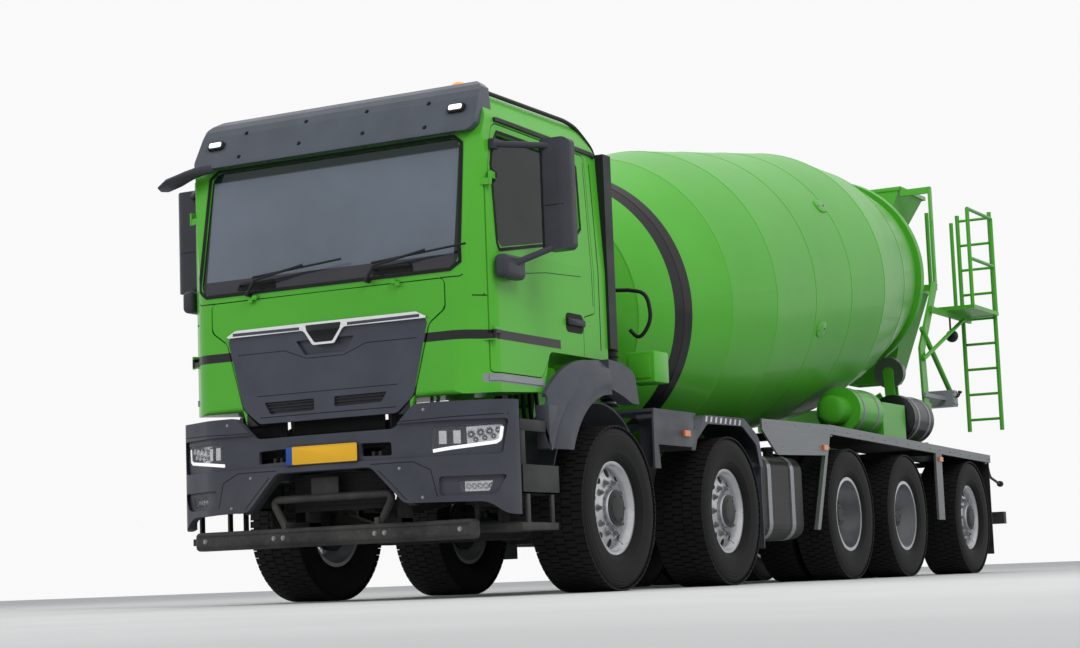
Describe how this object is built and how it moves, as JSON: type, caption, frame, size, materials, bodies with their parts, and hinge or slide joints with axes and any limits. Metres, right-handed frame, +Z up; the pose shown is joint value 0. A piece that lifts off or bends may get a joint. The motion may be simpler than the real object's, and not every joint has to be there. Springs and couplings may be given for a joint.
{
  "type": "concrete mixer truck",
  "caption": "Forward-control truck on multiple axles with a tilting cab, an inclined mixing drum on rollers, a feed hopper and a swivelling discharge chute.",
  "frame": {"origin": "middle of the truck's length and width, on the ground", "axes": "+X to the truck's left, +Y to its rear, +Z up"},
  "size_m": [2.98, 10.6719, 3.8816],
  "materials": {
    "chassis_black": "satin black chassis paint",
    "axle_black": "dull black paint",
    "engine_grey": "plain cast and painted grey",
    "body_grey": "glossy dark grey paint",
    "body_green": "glossy light green paint",
    "lamp_clear": "clear lamp cover over a bright reflector",
    "lamp_amber": "amber lamp cover",
    "plate_yellow": "blank plate, yellow",
    "plastic_black": "grained black plastic",
    "tank_black": "gloss black",
    "guard_alloy": "bright plain aluminium",
    "box_grey": "grey enclosure paint",
    "cab_glass": "lightly tinted glass",
    "trim_grey": "dark grained trim",
    "seat_fabric": "dark woven cover",
    "bright_trim": "bright trim",
    "roller_steel": "bare running surface",
    "tyre_rubber": "black rubber; the rim is bright aluminium in the visual model"
  },
  "bodies": {
    "chassis": {"frame": "chassis_black", "axle_beams": "axle_black", "leaf_springs": "axle_black", "power_unit": "engine_grey", "bumper": "body_grey", "headlamps": "lamp_clear", "number_plate": "plate_yellow", "underrun_bar": "chassis_black", "entry_steps": "plastic_black", "front_fenders": "body_grey", "fuel_tank": "tank_black", "side_boxes": "tank_black", "rear_mudguards": "guard_alloy", "front_stand": "body_green", "drum_drive": "body_green", "rear_stand": "body_green", "hopper": "body_green", "ladder_platform": "body_green", "water_tanks": "body_green", "control_box": "box_grey", "rear_bar": "chassis_black", "marker_lamps": "lamp_amber"},
    "cab": {"cab_shell": "body_green", "roof_visor": "body_grey", "windscreen": "cab_glass", "wipers": "plastic_black", "roof_lamps": "lamp_amber", "intake_pipe": "plastic_black", "dashboard": "trim_grey", "seats": "seat_fabric"},
    "front_flap": {"front_panel": "body_green", "grille": "plastic_black", "chrome_strip": "bright_trim"},
    "door_left": {"door_left": "body_green", "door_glass_left": "cab_glass", "mirror_left": "plastic_black"},
    "door_right": {"door_right": "body_green", "door_glass_right": "cab_glass", "mirror_right": "plastic_black"},
    "drum": {"drum": "body_green"},
    "roller_left": {"roller_left": "roller_steel"},
    "roller_right": {"roller_right": "roller_steel"},
    "chute_arm": {"chute_arm": "body_green"},
    "chute": {"chute": "body_green"},
    "knuckle_1_left": {"knuckle_1_left": "axle_black"},
    "knuckle_1_right": {"knuckle_1_right": "axle_black"},
    "knuckle_2_left": {"knuckle_2_left": "axle_black"},
    "knuckle_2_right": {"knuckle_2_right": "axle_black"},
    "knuckle_5_left": {"knuckle_5_left": "axle_black"},
    "knuckle_5_right": {"knuckle_5_right": "axle_black"},
    "wheel_1_left": {"wheel_1_left": "tyre_rubber"},
    "wheel_1_right": {"wheel_1_right": "tyre_rubber"},
    "wheel_2_left": {"wheel_2_left": "tyre_rubber"},
    "wheel_2_right": {"wheel_2_right": "tyre_rubber"},
    "wheel_3_left": {"wheel_3_left": "tyre_rubber"},
    "wheel_3_right": {"wheel_3_right": "tyre_rubber"},
    "wheel_4_left": {"wheel_4_left": "tyre_rubber"},
    "wheel_4_right": {"wheel_4_right": "tyre_rubber"},
    "wheel_5_left": {"wheel_5_left": "tyre_rubber"},
    "wheel_5_right": {"wheel_5_right": "tyre_rubber"}
  },
  "joints": [
    {"name": "cab_tilt", "type": "hinge", "parent": "chassis", "child": "cab", "pos_m": [0, -5.23, 0.85], "axis": [1, 0, 0], "range_deg": [0, 60]},
    {"name": "front_flap_lift", "type": "hinge", "parent": "cab", "child": "front_flap", "pos_m": [0, -5.274, 1.903], "axis": [-1, 0, 0], "range_deg": [0, 75]},
    {"name": "door_left_swing", "type": "hinge", "parent": "cab", "child": "door_left", "pos_m": [1.12, -5.11, 1.6], "axis": [0, 0, -1], "range_deg": [0, 75]},
    {"name": "door_right_swing", "type": "hinge", "parent": "cab", "child": "door_right", "pos_m": [-1.12, -5.11, 1.6], "axis": [0, 0, 1], "range_deg": [0, 75]},
    {"name": "steer_1_left", "type": "hinge", "parent": "chassis", "child": "knuckle_1_left", "pos_m": [0.88, -3.82, 0.53], "axis": [0, 0, 1], "range_deg": [-35, 35]},
    {"name": "steer_1_right", "type": "hinge", "parent": "chassis", "child": "knuckle_1_right", "pos_m": [-0.88, -3.82, 0.53], "axis": [0, 0, 1], "range_deg": [-35, 35]},
    {"name": "steer_2_left", "type": "hinge", "parent": "chassis", "child": "knuckle_2_left", "pos_m": [0.88, -2.025, 0.53], "axis": [0, 0, 1], "range_deg": [-22.6, 22.6]},
    {"name": "steer_2_right", "type": "hinge", "parent": "chassis", "child": "knuckle_2_right", "pos_m": [-0.88, -2.025, 0.53], "axis": [0, 0, 1], "range_deg": [-22.6, 22.6]},
    {"name": "steer_5_left", "type": "hinge", "parent": "chassis", "child": "knuckle_5_left", "pos_m": [0.88, 3.7, 0.53], "axis": [0, 0, 1], "range_deg": [-18.3, 18.3]},
    {"name": "steer_5_right", "type": "hinge", "parent": "chassis", "child": "knuckle_5_right", "pos_m": [-0.88, 3.7, 0.53], "axis": [0, 0, 1], "range_deg": [-18.3, 18.3]},
    {"name": "roll_1_left", "type": "hinge", "parent": "knuckle_1_left", "child": "wheel_1_left", "pos_m": [1.0725, -3.82, 0.53], "axis": [1, 0, 0], "continuous": true},
    {"name": "roll_1_right", "type": "hinge", "parent": "knuckle_1_right", "child": "wheel_1_right", "pos_m": [-1.0725, -3.82, 0.53], "axis": [1, 0, 0], "continuous": true},
    {"name": "roll_2_left", "type": "hinge", "parent": "knuckle_2_left", "child": "wheel_2_left", "pos_m": [1.0725, -2.025, 0.53], "axis": [1, 0, 0], "continuous": true},
    {"name": "roll_2_right", "type": "hinge", "parent": "knuckle_2_right", "child": "wheel_2_right", "pos_m": [-1.0725, -2.025, 0.53], "axis": [1, 0, 0], "continuous": true},
    {"name": "roll_3_left", "type": "hinge", "parent": "chassis", "child": "wheel_3_left", "pos_m": [0.94, 0.415, 0.53], "axis": [1, 0, 0], "continuous": true},
    {"name": "roll_3_right", "type": "hinge", "parent": "chassis", "child": "wheel_3_right", "pos_m": [-0.94, 0.415, 0.53], "axis": [1, 0, 0], "continuous": true},
    {"name": "roll_4_left", "type": "hinge", "parent": "chassis", "child": "wheel_4_left", "pos_m": [0.94, 1.815, 0.53], "axis": [1, 0, 0], "continuous": true},
    {"name": "roll_4_right", "type": "hinge", "parent": "chassis", "child": "wheel_4_right", "pos_m": [-0.94, 1.815, 0.53], "axis": [1, 0, 0], "continuous": true},
    {"name": "roll_5_left", "type": "hinge", "parent": "knuckle_5_left", "child": "wheel_5_left", "pos_m": [1.0725, 3.7, 0.53], "axis": [1, 0, 0], "continuous": true},
    {"name": "roll_5_right", "type": "hinge", "parent": "knuckle_5_right", "child": "wheel_5_right", "pos_m": [-1.0725, 3.7, 0.53], "axis": [1, 0, 0], "continuous": true},
    {"name": "drum_spin", "type": "hinge", "parent": "chassis", "child": "drum", "pos_m": [0, -2.72, 1.972], "axis": [0, 0.9885, 0.1513], "continuous": true},
    {"name": "roller_spin_left", "type": "hinge", "parent": "chassis", "child": "roller_left", "pos_m": [0.51891, 3.69467, 1.9663], "axis": [0, 0.9885, 0.1513], "continuous": true},
    {"name": "roller_spin_right", "type": "hinge", "parent": "chassis", "child": "roller_right", "pos_m": [-0.51891, 3.69467, 1.9663], "axis": [0, 0.9885, 0.1513], "continuous": true},
    {"name": "chute_swivel", "type": "hinge", "parent": "chassis", "child": "chute_arm", "pos_m": [0, 4.78, 1.2], "axis": [0, 0, -1], "range_deg": [0, 120]},
    {"name": "chute_tilt", "type": "hinge", "parent": "chute_arm", "child": "chute", "pos_m": [-0.13, 4.78, 1.72], "axis": [0, 1, 0], "range_deg": [-10, 25]}
  ],
  "couplings": [
    {"joint": "steer_1_right", "follows": "steer_1_left", "ratio": 1},
    {"joint": "steer_2_left", "follows": "steer_1_left", "ratio": 0.64},
    {"joint": "steer_2_right", "follows": "steer_1_left", "ratio": 0.64},
    {"joint": "steer_5_left", "follows": "steer_1_left", "ratio": -0.52},
    {"joint": "steer_5_right", "follows": "steer_1_left", "ratio": -0.52},
    {"joint": "roller_spin_left", "follows": "drum_spin", "ratio": -6.3667},
    {"joint": "roller_spin_right", "follows": "drum_spin", "ratio": -6.3667}
  ]
}
